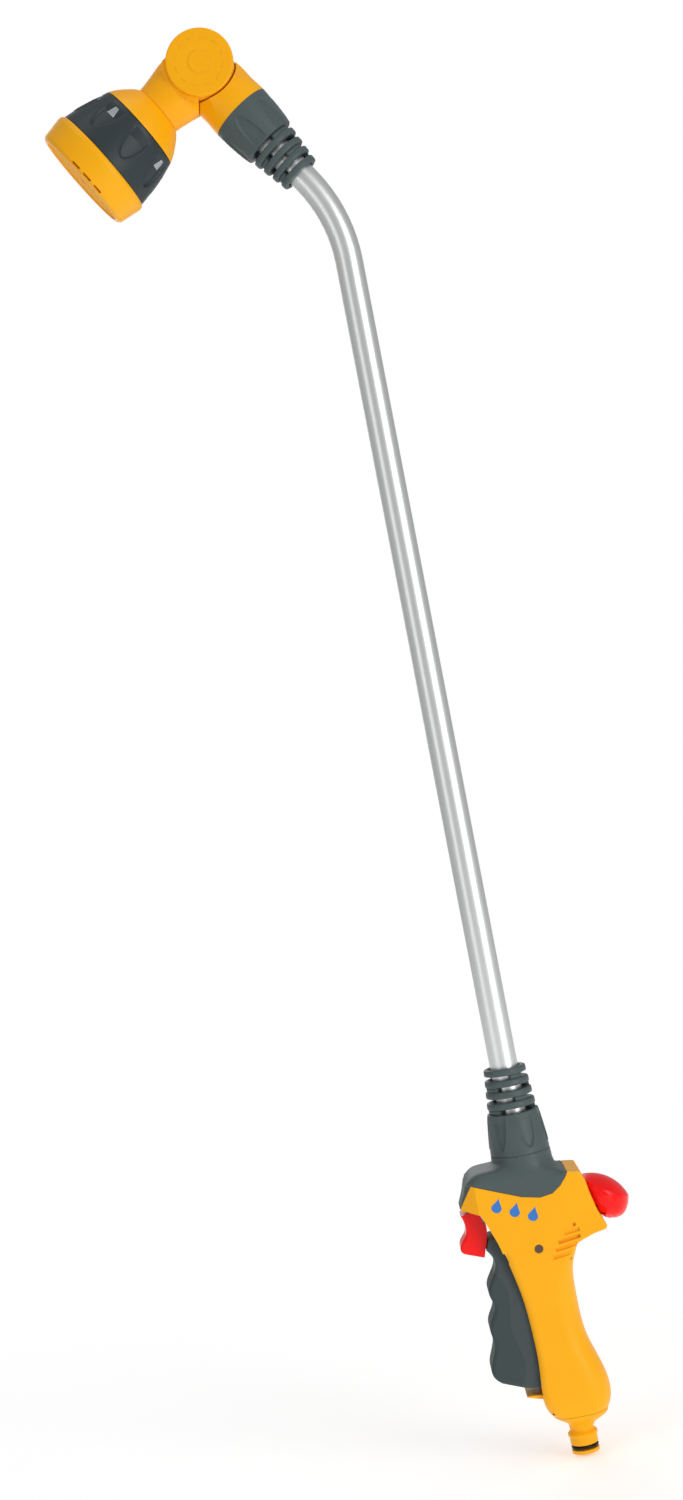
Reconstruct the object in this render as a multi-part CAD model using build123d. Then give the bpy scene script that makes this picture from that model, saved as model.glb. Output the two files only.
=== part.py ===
from build123d import *
import math
import os

# Long-reach garden watering wand: a pistol-style handle with a quick-connect hose
# spigot, a bent aluminium lance, and a tilting head with a turning spray rosette.
#
# Frame: millimetres. Origin at the centre of the hose spigot's end face, +Z up the
# handle and the lance, -X towards the trigger and the spray, the wand's mirror plane
# is Y = 0.

# ---------------------------------------------------------------- driving sizes
LANCE_X = -4.8            # axis of the lance's straight run
LANCE_R = 8.0             # 16 mm tube
LANCE_WALL = 1.0
LANCE_FOOT_Z = 178.5
BEND_ANGLE = 33.0         # the lance's bend below the head, degrees
BEND_R = 90.0

PIVOT = Vector(-67.1, 0, 814.4)   # head tilt axis, along Y
HEAD_DROP = 31.7          # the spray axis points this far below -X at rest
HUB_R = 19.2
HUB_Y = 20.0              # half width over both hubs
HUB_GAP = 0.6             # from the mirror plane to each hub's inner face
NECK_SWEEP = 20.2         # the necks stay outside this radius beside the other hub
NECK_GAP = 0.4            # between the two necks when the head is folded

TRIGGER_PIVOT = Vector(-5.6, 0, 122)
PIN_R = 2.5
RUN_CLEARANCE = 0.05      # radial, for everything that turns on a pin
STEM_Z = 104.0
STEM_R = 1.5

SPIGOT_R = 7.9            # quick-connect hose spigot

KNOB_AXIS = 36.0          # above +X, degrees
KNOB_CENTRE = Vector(36.1, 0, 142.1)
KNOB_R = 16.65
SPINDLE_R = 2.5

HEAD_HALF_Y = 19.0        # half width of the handle's upper body
WALL = 2.5
SEAM = 0.0                # the shells meet on the mirror plane


def unit(angle):
    """Direction in the mirror plane, degrees above +X."""
    return Vector(math.cos(math.radians(angle)), 0, math.sin(math.radians(angle)))


SPRAY_DIR = unit(180 + HEAD_DROP)
REACH_DIR = unit(-90 + BEND_ANGLE)       # from the pivot down the lance's bent end
FOLD_DIR = (SPRAY_DIR + REACH_DIR).normalized()   # halfway between the two necks

SPRAY = Plane(origin=PIVOT, x_dir=(0, 1, 0), z_dir=SPRAY_DIR)
REACH = Plane(origin=PIVOT, x_dir=(0, 1, 0), z_dir=REACH_DIR)
BARREL = Plane(origin=(LANCE_X, 0, 0), x_dir=(1, 0, 0), z_dir=(0, 0, 1))
SPIGOT = Plane.XY
KNOB = Plane(origin=KNOB_CENTRE, x_dir=(0, 1, 0), z_dir=unit(KNOB_AXIS))
HINGE = Plane(origin=PIVOT, x_dir=(1, 0, 0), z_dir=(0, -1, 0))    # local z is -Y


# ---------------------------------------------------------------- shape helpers
def turned(plane, *points):
    """A turned solid: the (radius, height) outline spun about the plane's z axis."""
    outline = Polyline(*[(r, 0, z) for r, z in points], close=True)
    return plane.location * revolve(make_face(outline), axis=Axis.Z)


def turned_curve(plane, inner, outer):
    """A turned solid between a curved outer (radius, height) line and an inner line."""
    skin = Spline(*[(r, 0, z) for r, z in outer])
    (r_first, z_first), (r_last, z_last) = outer[0], outer[-1]
    back = Polyline((r_last, 0, z_last), *[(r, 0, z) for r, z in reversed(inner)],
                    (r_first, 0, z_first))
    return plane.location * revolve(make_face(skin + back), axis=Axis.Z)


def rod(plane, radius, low, high):
    """A cylinder about the plane's z axis between two heights."""
    return plane.location * Pos(0, 0, (low + high) / 2) * Cylinder(radius, high - low)


def tube(plane, outer, inner, low, high):
    """A plain sleeve."""
    return rod(plane, outer, low, high) - rod(plane, inner, low, high)


def ring(plane, radius, section, height):
    """An O-ring: mean radius, section radius and height on the axis."""
    return plane.location * Pos(0, 0, height) * Torus(radius, section)


def cross_rod(point, radius, half_length):
    """A cylinder along Y through a point of the mirror plane."""
    return Pos(point.X, 0, point.Z) * Rot(90, 0, 0) * Cylinder(radius, 2 * half_length)


def plate(points, half_width):
    """A side outline in (x, z), extruded both ways along Y."""
    face = make_face(Polyline(*[(x, 0, z) for x, z in points], close=True))
    return extrude(face, amount=half_width, dir=(0, 1, 0), both=True)


def block(x0, x1, y0, y1, z0, z1):
    """A box between its limits."""
    centre = Pos((x0 + x1) / 2, (y0 + y1) / 2, (z0 + z1) / 2)
    return centre * Box(x1 - x0, y1 - y0, z1 - z0)


# ---------------------------------------------------------------- handle outline
# Each grip section: height, front edge, back, half width, front and back corner radii.
GRIP_SECTIONS = [
    (23.6, -14.6, 17.0, 14.5, 10.5, 13.0),
    (30.0, -17.9, 19.8, 16.3, 7.0, 14.0),
    (40.0, -19.1, 20.0, 17.2, 4.0, 14.5),
    (52.0, -18.4, 16.9, 17.0, 4.0, 14.0),
    (66.0, -18.0, 12.8, 16.4, 4.0, 13.0),
    (82.0, -18.7, 11.2, 16.0, 4.0, 12.5),
    (98.0, -20.4, 11.2, 16.8, 4.0, 11.5),
    (112.0, -23.2, 13.4, 18.1, 4.0, 7.5),
    (124.0, -26.4, 16.8, 19.0, 4.0, 3.6),
]
# Upper body, from the front top corner round the nose, window and back.
UPPER_OUTLINE = [
    (-36.6, 163.4), (-44.8, 150.2), (-34.3, 146.4), (-30.6, 137.2), (-27.5, 128.8), (-26.0, 122.8),
    (15.6, 119.6), (16.9, 120.8), (20.2, 122.2), (27.0, 124.4), (33.9, 125.6), (34.9, 127.4),
    (31.0, 137.2), (28.6, 147.4), (27.4, 155.0), (25.2, 160.6), (18.2, 161.6),
]
# The line where the grey hood meets the yellow shells, front to back.
HOOD_LINE = [
    (-36.6, 163.4), (-21.8, 157.3), (-9.6, 152.4), (0.5, 150.2), (7.8, 151.2), (12.8, 154.6),
    (16.4, 158.6), (18.2, 161.6),
]
NOSE_SLOPE = 0.75         # how fast the upper body narrows in front of NOSE_X
NOSE_X = -35.0


def grip_face(z, front, back, half, r_front, r_back):
    """One rounded section across the grip."""
    c = math.sqrt(0.5)
    arcs = []
    corners = [
        (back - r_back, -half + r_back, r_back, -90, -45, 0),
        (back - r_back, half - r_back, r_back, 0, 45, 90),
        (front + r_front, half - r_front, r_front, 90, 135, 180),
        (front + r_front, -half + r_front, r_front, 180, 225, 270),
    ]
    for x, y, r, *angles in corners:
        arcs.append([(x + r * math.cos(math.radians(a)), y + r * math.sin(math.radians(a)), z)
                     for a in angles])
    lines = []
    for this, following in zip(arcs, arcs[1:] + arcs[:1]):
        lines.append(ThreePointArc(*this))
        lines.append(Line(this[-1], following[0]))
    return make_face(lines)


def grip_body(inset=0.0, open_front=0.0):
    """The grip; inset gives its hollow, which runs out through the open front."""
    faces = []
    for z, front, back, half, r_front, r_back in GRIP_SECTIONS:
        edge = front + inset - open_front
        r_edge = 1.0 if open_front else r_front
        faces.append(grip_face(z, edge, back - inset, half - inset, r_edge, r_back - inset))
    return loft(faces)


def nose_wedges(inset=0.0):
    """The two corners cut off the upper body, which narrow it to a nose."""
    reach = 30.0
    cuts = []
    for side in (-1, 1):
        y = HEAD_HALF_Y - inset
        corner = [(NOSE_X, side * y), (NOSE_X - reach, side * (y - NOSE_SLOPE * reach)),
                  (NOSE_X - reach, side * (y + reach)), (NOSE_X, side * (y + reach))]
        face = make_face(Polyline(*[(x, y_, 100) for x, y_ in corner], close=True))
        cuts.append(extrude(face, amount=100, dir=(0, 0, 1)))
    return cuts


def upper_body():
    """The handle's wide upper part below the hood, with its edges eased."""
    body = plate(UPPER_OUTLINE, HEAD_HALF_Y)
    for cut in nose_wedges():
        body -= cut
    rim = [e for e in body.edges() if abs(abs(e.center().Y) - HEAD_HALF_Y) < 0.01
           and e.center().X > 14 and e.center().Z < 161]
    return fillet(rim, 2.0)


def upper_hollow():
    """The space inside the upper body."""
    outline = [
        (-30.0, 166.0), (-60.0, 166.0), (-60.0, 140.0), (-34.0, 118.0), (11.4, 112.0), (13.4, 118.6),
        (19.0, 124.6), (26.4, 127.0), (31.2, 128.2), (28.4, 137.0), (26.0, 147.0), (24.8, 154.6),
        (22.9, 159.0), (17.4, 159.2), (17.4, 166.0),
    ]
    body = plate(outline, HEAD_HALF_Y - WALL)
    for cut in nose_wedges(WALL):
        body -= cut
    return body


def above_hood_line():
    """Everything above the hood line, through the full width."""
    top = [(60, HOOD_LINE[-1][1]), (60, 260), (-80, 260), (-80, HOOD_LINE[0][1])]
    return plate(HOOD_LINE + top, 40)


def knob_sweep(clearance):
    """The round pocket that the flow knob turns in."""
    return turned(
        KNOB, (0, -8.6 - clearance), (10.4 + clearance, -8.6 - clearance),
        (11.6 + clearance, -6.4 - clearance), (15.6 + clearance, -4.2 - clearance),
        (KNOB_R + clearance, 0), (KNOB_R + clearance, 3), (12, 16), (0, 16))


# ---------------------------------------------------------------- handle pieces
SCREW_SPOTS = [Vector(14.0, 0, 42.0), Vector(-12.6, 0, 31.5), Vector(12.5, 0, 143.5), Vector(-27.5, 0, 149.0)]
BOSS_R = 3.0
SCREW_R = 1.3


def handle_shell():
    """Both shells in one piece: walls, screw bosses, pin bores and grip grooves."""
    outer = grip_body() + upper_body()
    lip = plate([(-28.4, 42.5), (-29.2, 41.6), (-28.9, 40.4), (-27.2, 39.0), (-23.0, 37.6), (-18.4, 36.4),
                 (-14, 33.5), (-14, 40.0), (-21.0, 41.5)], 12.0)
    outer += lip
    hollow = grip_body(WALL, open_front=40.0) + upper_hollow()
    hollow -= block(-70, 30, -30, 30, 20, 26.4)
    front_floor = plate([(-60, 20), (-60, 39.4), (-24, 39.4), (-15.6, 38.6), (-15.2, 26), (-15.2, 20)], 40)
    hollow -= front_floor
    hollow += plate([(-60, 45.5), (-29.4, 43.6), (-19.0, 40.2), (-14.0, 40.2), (-14.0, 52), (-60, 60)], 14.2)
    shell = outer - hollow
    for spot in SCREW_SPOTS:
        shell += cross_rod(spot, BOSS_R, HEAD_HALF_Y - 1.0) & outer
    shell -= above_hood_line()
    shell -= rod(SPIGOT, 9.0, 20, 27)
    shell -= knob_sweep(1.2)
    shell -= rod(KNOB, SPINDLE_R + 0.4, -34, 0)
    shell -= rod(PLUG, VALVE_BOSS_R + 0.2, 4, 14)
    shell -= cross_rod(TRIGGER_PIVOT, PIN_R, 30)
    for row in range(4):
        groove = Pos(14.5 - 2.2 * row, -HEAD_HALF_Y + 0.3, 128.3 - 4.1 * row) * Rot(0, -7, 0)
        depth = 1.5 if row else 0.7
        shell -= groove * Box(13 if row else 9, 2 * depth, 2.0)
        shell -= Pos(0, 2 * HEAD_HALF_Y - 0.6, 0) * groove * Box(13 if row else 9, 2 * depth, 2.0)
    return shell


def shells():
    """The shell split on the mirror plane, with the screws' holes."""
    whole = handle_shell()
    left = whole & block(-80, 80, -40, SEAM, -10, 260)
    right = whole & block(-80, 80, SEAM, 40, -10, 260)
    for spot in SCREW_SPOTS:
        left -= Pos(spot.X, -5.0, spot.Z) * Rot(90, 0, 0) * Cylinder(SCREW_R, 10.0)
        right -= Pos(spot.X, 15.0, spot.Z) * Rot(90, 0, 0) * Cylinder(SCREW_R, 30.0)
        right -= Pos(spot.X, 18.0, spot.Z) * Rot(90, 0, 0) * Cylinder(2.5, 16.0)
    left -= Pos(16.4, -HEAD_HALF_Y, 131.8) * Rot(90, 0, 0) * Cylinder(1.0, 3.0)
    return left, right


def shell_screws():
    """Four self-tapping screws, driven from the right-hand side."""
    screws = []
    for spot in SCREW_SPOTS:
        shank = Pos(spot.X, 0.5, spot.Z) * Rot(90, 0, 0) * Cylinder(SCREW_R, 19.0)
        head = Pos(spot.X, 11.0, spot.Z) * Rot(90, 0, 0) * Cylinder(2.4, 2.0)
        cross = Pos(spot.X, 12.0, spot.Z)
        head -= cross * Box(2.6, 1.2, 0.7)
        head -= cross * Box(0.7, 1.2, 2.6)
        screws.append(shank + head)
    return Compound(children=screws)


BARREL_FOOT_Z = 146.0
NOSE_FRONT = [(-34.0, 166.0), (-39.8, 163.4), (-41.9, 157.0), (-45.3, 150.0), (-42.9, 149.6), (-40.0, 156.0)]
BARREL_TOP_Z = 175.0


def hood():
    """The grey hood: a round barrel growing out of a narrower block with a nose."""
    block_outline = [
        (-44.8, 150.2), (-41.1, 157.6), (-39.5, 163.2), (-37.6, 167.0), (-34.2, 169.4),
        (-20.0, 169.8), (8.0, 166.0), (18.2, 161.6), (18.2, 146.0), (-20.0, 146.0), (-36.6, 150.0),
    ]
    body = plate(block_outline, HEAD_HALF_Y)
    for cut in nose_wedges():
        body -= cut
    top = [e for e in body.edges() if abs(e.center().Y) > 9 and e.center().Z > 160
           and e.center().X < 10 and not e.geom_type == GeomType.CIRCLE
           and abs(e.tangent_at(0.5).Y) < 0.9]
    top = [e for e in top if e.center().Z > 164]
    body = fillet(top, 3.0)
    barrel = turned_curve(
        BARREL, [(0, BARREL_FOOT_Z), (0, BARREL_TOP_Z)],
        [(21.6, BARREL_FOOT_Z), (20.2, 152), (18.9, 160), (17.7, 168), (17.05, BARREL_TOP_Z)])
    body += barrel & block(-80, 80, -HEAD_HALF_Y, HEAD_HALF_Y, 140, 180)
    body &= above_hood_line()
    body += plate(NOSE_FRONT, HEAD_HALF_Y) & nose_inner()
    body -= plate([(-42.4, 140.0), (-42.4, 151.0), (-38.9, 158.0), (-36.6, 163.6), (-34.0, 166.8),
                   (-24.5, 167.0), (-24.5, 140.0)], 13.0) & nose_inner()
    body -= rod(BARREL, 15.6, 140, 168)
    body -= block(0, 40, -14, 14, 140, 158.8)
    spout = rod(BARREL, 12.0, 168, 192)
    body += spout
    body -= rod(BARREL, LANCE_R, LANCE_FOOT_Z, 200)
    body -= rod(BARREL, 5.2, 160, 200)
    return body


def nose_inner():
    """The nose's inside width, for cavities."""
    body = block(-60, 60, -(HEAD_HALF_Y - WALL), HEAD_HALF_Y - WALL, 100, 200)
    for cut in nose_wedges(WALL):
        body -= cut
    return body


def base_cap():
    """The end cap with the quick-connect hose spigot and its waterway."""
    sections = [
        (23.4, -14.6, 17.0, 14.5, 10.5, 13.0),
        (20.4, -11.0, 15.4, 12.6, 9.6, 11.6),
        (17.6, -7.8, 10.6, 9.2, 8.4, 8.8),
        (14.6, -6.9, 7.3, 7.1, 6.8, 6.9),
    ]
    dome = loft([grip_face(*section) for section in sections])
    spigot = turned(
        SPIGOT, (0, 0), (SPIGOT_R, 0), (SPIGOT_R, 1.9), (5.95, 1.9), (5.95, 4.9), (SPIGOT_R, 4.9), (SPIGOT_R, 9.0),
        (8.5, 9.9), (8.5, 11.2), (7.0, 12.8), (6.7, 13.6), (7.0, 14.9), (0, 14.9))
    neck = turned(SPIGOT, (0, 23.4), (9.0, 23.4), (9.0, 30.0), (0, 30.0))
    cap = dome + spigot + neck
    cap -= rod(SPIGOT, 4.6, -1, 22)
    cap -= rod(SPIGOT, 6.3, 22, 40)
    return cap


VALVE_X = 3.0


def inlet_pipe():
    """Moulded pipe from the base cap up the back of the grip to the valve."""
    path = FilletPolyline((0, 0, 22.2), (0, 0, 34), (VALVE_X, 0, 52), (VALVE_X, 0, 97.5), radius=40)
    start = Plane(origin=(0, 0, 22.2), x_dir=(1, 0, 0), z_dir=(0, 0, 1))
    pipe = sweep(start * (Circle(5.0) - Circle(3.4)), path=path)
    return pipe


def outlet_pipe():
    """Moulded pipe from the valve to the foot of the lance."""
    foot = (VALVE_X, 0, 130)
    path = FilletPolyline(foot, (VALVE_X, 0, 138), (LANCE_X, 0, 157), (LANCE_X, 0, 177.5), radius=18)
    start = Plane(origin=foot, x_dir=(1, 0, 0), z_dir=(0, 0, 1))
    return sweep(start * (Circle(5.0) - Circle(3.4)), path=path)


PLUG_CENTRE = Vector(3.5, 0, 118.4)
PLUG = Plane(origin=PLUG_CENTRE, x_dir=(0, 1, 0), z_dir=unit(KNOB_AXIS))
PLUG_R = 3.4
VALVE_BOSS_R = 5.0        # outside of the flow gate's bore


def valve_body():
    """Valve chamber, flow-gate bore and the sockets of both pipes."""
    body = block(-7.0, 6.9, -7.2, 7.2, 93.5, 113.0)
    body += Pos(VALVE_X, 0, 0) * rod(Plane.XY, 5.9, 112.0, 130.0)
    body += rod(PLUG, VALVE_BOSS_R, -5.4, 12.8)
    body -= block(-3.6, 4.6, -5.2, 5.2, 98.6, 109.6)
    body -= Pos(VALVE_X, 0, 0) * rod(Plane.XY, 5.0, 90.0, 97.5)
    body -= Pos(VALVE_X, 0, 0) * rod(Plane.XY, 3.0, 97.0, 135.0)
    body -= rod(PLUG, PLUG_R + RUN_CLEARANCE, -4.0, 9.0)
    body -= rod(PLUG, SPINDLE_R + RUN_CLEARANCE, 8.0, 20.0)
    stem_bore = Pos(-6, 0, STEM_Z) * Rot(0, 90, 0) * Cylinder(STEM_R + RUN_CLEARANCE, 8)
    return body - stem_bore


def valve_stem():
    """Push rod from the trigger web through the valve wall to the seal disc."""
    shaft = Pos(-15.2, 0, STEM_Z) * Rot(0, 90, 0) * Cylinder(STEM_R, 26.0)
    head = Pos(-28.2, 0, STEM_Z) * Rot(0, 90, 0) * Cylinder(2.6, 1.6)
    disc = Pos(-2.0, 0, STEM_Z) * Rot(0, 90, 0) * Cylinder(3.0, 0.8)
    return shaft + head + disc


def stem_seal():
    """Rubber washer behind the stem's disc."""
    washer = Pos(-2.95, 0, STEM_Z) * Rot(0, 90, 0) * Cylinder(3.8, 1.1)
    return washer - Pos(-2.95, 0, STEM_Z) * Rot(0, 90, 0) * Cylinder(STEM_R, 3)


def trigger_spring():
    """Torsion spring on the trigger pin: one coil on each side of the valve."""
    wire = 0.6
    coil_r = 3.6
    pitch = 1.4
    coils = []
    for side in (-1, 1):
        helix = Helix(pitch=pitch, height=pitch, radius=coil_r)
        start = Plane(origin=helix @ 0, z_dir=helix % 0)
        coil = sweep(start * Circle(wire), path=helix, is_frenet=True)
        coils.append(Pos(TRIGGER_PIVOT.X, side * 7.9 + pitch / 2, TRIGGER_PIVOT.Z) * Rot(90, 0, 0) * coil)
    return Compound(children=coils)


# ---------------------------------------------------------------- trigger and lock
TRIGGER_FRONT = [
    (-34.6, 124.4), (-33.0, 110.8), (-37.9, 100.8), (-36.3, 92.2), (-40.9, 81.6), (-40.2, 71.5),
    (-44.6, 56.0), (-39.6, 48.8),
]
GRIP_LINE = [
    (-31.6, 110.6), (-27.2, 98.5), (-29.0, 78.0), (-25.4, 60.0), (-28.4, 46.2),
]
TRIGGER_HALF = 12.0
TRIGGER_GRIP_SKIN = 2.2


def trigger_outline():
    """Closed side outline of the whole trigger, soft grip included."""
    front = Spline(*[(x, 0, z) for x, z in TRIGGER_FRONT])
    rest = Polyline(
        (-39.6, 0, 48.8), (-28.5, 0, 44.4), (-15.4, 0, 42.8), (-14.6, 0, 62),
        (-15.2, 0, 82), (-16.6, 0, 100), (-11.5, 0, 117), (-8.5, 0, 127), (-20, 0, 131), (-32.2, 0, 130.6),
        (-34.6, 0, 124.4))
    return make_face(front + rest)


def grip_region():
    """The side outline of the part of the trigger that the soft grip covers."""
    line = Spline(*[(x, 0, z) for x, z in GRIP_LINE])
    outside = Polyline((-28.4, 0, 46.2), (-30.0, 0, 40.0), (-60, 0, 40), (-60, 0, 110.6), (-31.6, 0, 110.6))
    return make_face(line + outside)


def trigger_parts():
    """The hard trigger lever and the soft grip moulded over its front."""
    face = trigger_outline()
    whole = extrude(face, amount=TRIGGER_HALF, dir=(0, 1, 0), both=True)
    whole += cross_rod(TRIGGER_PIVOT, 5.0, TRIGGER_HALF)
    rim = [e for e in whole.edges() if abs(abs(e.center().Y) - TRIGGER_HALF) < 0.01
           and e.center().X < -30 and e.center().Z < 122]
    whole = fillet(rim, 2.6)
    region = extrude(grip_region(), amount=30, dir=(0, 1, 0), both=True)
    under = Spline(*[(x + TRIGGER_GRIP_SKIN, 0, z) for x, z in TRIGGER_FRONT])
    first, last = under @ 0, under @ 1
    behind = Polyline(last, (last.X + 3, 0, 49.2), (0, 0, 49.2), (0, 0, first.Z), first)
    core_under = extrude(make_face(under + behind), amount=TRIGGER_HALF - 0.9, dir=(0, 1, 0), both=True)
    grip = (whole & region) - core_under
    core = whole - grip
    hollow = plate([(-29.4, 60), (-28.4, 54.6), (-24.5, 52), (-24.5, 40), (8, 40), (8, 136),
                    (-24, 136), (-28.6, 122), (-29.4, 112)], 9.4)
    core -= hollow
    core -= cross_rod(TRIGGER_PIVOT, PIN_R + RUN_CLEARANCE, 30)
    return core, grip


def trigger_lock():
    """Sliding lock catch with a concave thumb face and a tongue up inside the nose."""
    front = Spline((-45.4, 0, 146.0), (-43.9, 0, 140.6), (-44.6, 0, 134.6), (-48.2, 0, 129.8),
                   (-48.9, 0, 126.9), (-46.6, 0, 124.0))
    rest = Polyline((-46.6, 0, 124.0), (-36.4, 0, 120.2), (-35.1, 0, 124.4), (-32.7, 0, 131.5), (-32.0, 0, 137.0),
                    (-34.0, 0, 141.0), (-34.2, 0, 152.0), (-38.6, 0, 152.0), (-39.2, 0, 147.0), (-45.4, 0, 146.0))
    body = extrude(make_face(front + rest), amount=8.0, dir=(0, 1, 0), both=True)
    rim = [e for e in body.edges() if abs(abs(e.center().Y) - 8.0) < 0.01
           and e.center().X < -43 and e.center().Z < 143]
    return fillet(rim, 1.6)


# ---------------------------------------------------------------- flow knob
CROWN_R = 24.0            # the knob's crown is part of a ball of this radius
CROWN_TOP = 11.3
CROWN_LEAN = 4.5          # the crown's high point sits this far below the knob's axis
FLUTES = 12


def flow_knob():
    """Domed thumb knob with a fluted skirt; its crown leans to the lower side."""
    cap = turned(
        KNOB, (0, -8.0), (10.4, -8.0), (12.9, -6.4), (15.2, -3.8), (16.4, -1.2), (KNOB_R, 1.0),
        (16.2, 3.4), (14.6, 6.6), (12.6, 9.2), (10.0, 11.6), (0, 11.6))
    ball = KNOB.location * Pos(0, -CROWN_LEAN, CROWN_TOP - CROWN_R) * Sphere(CROWN_R)
    knob = cap & ball
    for step in range(FLUTES):
        turn = Rot(0, 0, 360 / FLUTES * step)
        knob -= KNOB.location * turn * Pos(0, -11.6, -7.6) * Box(2.0, 4.6, 4.0)
    knob -= rod(KNOB, SPINDLE_R, -10, 4.0)
    return knob


def flow_spindle():
    """Spindle from the knob down to the cross-drilled plug in the valve body."""
    to_plug = (PLUG_CENTRE - KNOB_CENTRE).length
    drive = rod(KNOB, SPINDLE_R, -to_plug + 8.5, 3.9)
    plug = rod(PLUG, PLUG_R, -3.9, 8.9)
    hole = Pos(PLUG_CENTRE.X, 0, PLUG_CENTRE.Z) * Cylinder(2.4, 12)
    collar_seat = tube(PLUG, SPINDLE_R + 1, 2.0, 11.4, 12.8)
    return drive + plug - hole - collar_seat


def spindle_seal():
    """O-ring in the spindle's groove."""
    return ring(PLUG, 2.25, 0.24, 12.1)


# ---------------------------------------------------------------- lance and collars
LANCE_END = 38.6          # the lance's bent end stops this far from the pivot


def lance_tube():
    """16 mm tube: a long straight run, one bend and a short end into the head joint."""
    drop = (LANCE_X - PIVOT.X) / math.sin(math.radians(BEND_ANGLE))
    corner = PIVOT + REACH_DIR * drop
    end = PIVOT + REACH_DIR * LANCE_END
    path = FilletPolyline((LANCE_X, 0, LANCE_FOOT_Z), (corner.X, 0, corner.Z), (end.X, 0, end.Z), radius=BEND_R)
    start = Plane(origin=(LANCE_X, 0, LANCE_FOOT_Z), x_dir=(1, 0, 0), z_dir=(0, 0, 1))
    return sweep(start * (Circle(LANCE_R) - Circle(LANCE_R - LANCE_WALL)), path=path)


COLLAR_BORE = 8.15
THREAD_R = 12.0
RING_PITCH = 6.3
SLOT_HEIGHT = 2.5


def slot_cut(plane, height, web_angle, web_half):
    """One row of window slots: a flat ring less its two webs."""
    row = tube(plane, 30, COLLAR_BORE - 0.1, height, height + SLOT_HEIGHT)
    for side in (0, 180):
        wedge = Rot(0, 0, web_angle + side) * Pos(15, 0, height + SLOT_HEIGHT / 2)
        row -= plane.location * wedge * Box(30, 2 * web_half, 4)
    return row


def collar(plane, foot, big_r, nut_top, small_r, sleeve_r, end_r, spout_depth, first_web):
    """Ribbed collar nut: a tapered nut, then a springy sleeve of four slotted rings."""
    nut = turned_curve(
        plane, [(COLLAR_BORE, foot), (COLLAR_BORE, nut_top)],
        [(big_r, foot), (big_r - 0.2 * (big_r - small_r), foot + 0.3 * (nut_top - foot)),
         (big_r - 0.58 * (big_r - small_r), foot + 0.68 * (nut_top - foot)), (small_r, nut_top)])
    nut -= rod(plane, THREAD_R + 0.15, foot - 1, foot + spout_depth)
    sleeve_top = nut_top + 4 * RING_PITCH + 1.2
    sleeve = turned(plane, (COLLAR_BORE, nut_top - 0.5), (sleeve_r, nut_top - 0.5), (sleeve_r, nut_top + 2),
                    (end_r, sleeve_top - 0.8), (end_r - 0.8, sleeve_top), (COLLAR_BORE, sleeve_top))
    body = nut + sleeve
    for row in range(4):
        web = first_web + (0 if row % 2 else 90)
        body -= slot_cut(plane, nut_top + 0.4 + RING_PITCH * row, web, 2.6 if row % 2 else 5.0)
    return body


LOWER_NUT_FOOT = BARREL_TOP_Z + 0.1
UPPER_NUT_FOOT = 32.9


def lower_collar():
    """Collar nut that clamps the lance on the handle."""
    return collar(BARREL, LOWER_NUT_FOOT, 17.0, 198.2, 14.9, 13.9, 11.7, 21.2, 28)


def upper_collar():
    """Collar nut that clamps the lance on the head joint."""
    return collar(REACH, UPPER_NUT_FOOT, 18.35, 56.4, 16.0, 14.9, 11.7, 21.2, 62)


def tube_seal(plane, height):
    """Rubber cone ring that the collar nut squeezes on the tube."""
    return turned(plane, (8.0, height), (11.9, height), (11.9, height + 1.2), (9.4, height + 3.6), (8.0, height + 3.6))


# ---------------------------------------------------------------- head joint
JOINT_SPOUT_END = 50.0


def half_space(direction, gap):
    """A big block on one side of the fold plane, a gap away from it."""
    normal = Plane(origin=PIVOT, x_dir=(0, 1, 0), z_dir=direction)
    return normal.location * Pos(0, 0, gap + 100) * Box(200, 200, 200)


def fold_side(sign):
    """Normal to the fold plane, towards the head (+1) or the lance (-1)."""
    across = Vector(-FOLD_DIR.Z, 0, FOLD_DIR.X)
    towards_head = 1 if across.dot(SPRAY_DIR) > 0 else -1
    return across * (sign * towards_head)


def neck(plane, points):
    """A neck turned about its own axis."""
    return turned_curve(plane, [(0, points[0][1]), (0, points[-1][1])], points)


def neck_flats(plane, depth, height, slope):
    """Four shallow slanted planes that the necks are eased with, between the hub and the end."""
    cuts = []
    for angle in (52, 128, 232, 308):
        place = Rot(0, 0, angle) * Pos(depth, 0, height) * Rot(0, slope, 0) * Pos(6, 0, 0)
        cuts.append(plane.location * place * Box(12, 40, 60))
    return cuts


def hub(low, high):
    """One round hub with eased rims; heights run towards -Y."""
    disc = rod(HINGE, HUB_R, low, high)
    return fillet(disc.edges().filter_by(GeomType.CIRCLE), 0.8)


def head_arm():
    """The arm that carries the rosette, with the front hub and its waterway."""
    shape = neck(SPRAY, [(16.6, 2.0), (18.0, 10.0), (18.3, 16.5), (17.3, 21.5), (16.1, 27.5), (15.2, 33.7)])
    for cut in neck_flats(SPRAY, 17.3, 14.0, 5.0):
        shape -= cut
    shape &= half_space(fold_side(1), NECK_GAP / 2)
    plinth = rod(HINGE, 21.3, HUB_GAP, 17.3) & (SPRAY.location * Pos(0, 0, 25) * Box(60, 30, 34))
    shape += plinth & half_space(fold_side(1), NECK_GAP / 2)
    shape -= rod(HINGE, NECK_SWEEP, -30, HUB_GAP)
    shape += hub(HUB_GAP, HUB_Y)
    shape -= rod(HINGE, AXLE_R + RUN_CLEARANCE, 0, 14.0)
    shape -= rod(HINGE, 7.4, 3.4, 10.2)
    shape -= rod(HINGE, 1.7, 13.0, 30.0)
    shape -= rod(HINGE, 6.45, 17.6, 30.0)
    duct = SPRAY.location * Pos(-6.5, 0, 14) * Cylinder(3.2, 28)
    shape -= duct
    shape -= rod(SPRAY, 10.0, 27.6, 40.0)
    return shape


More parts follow.
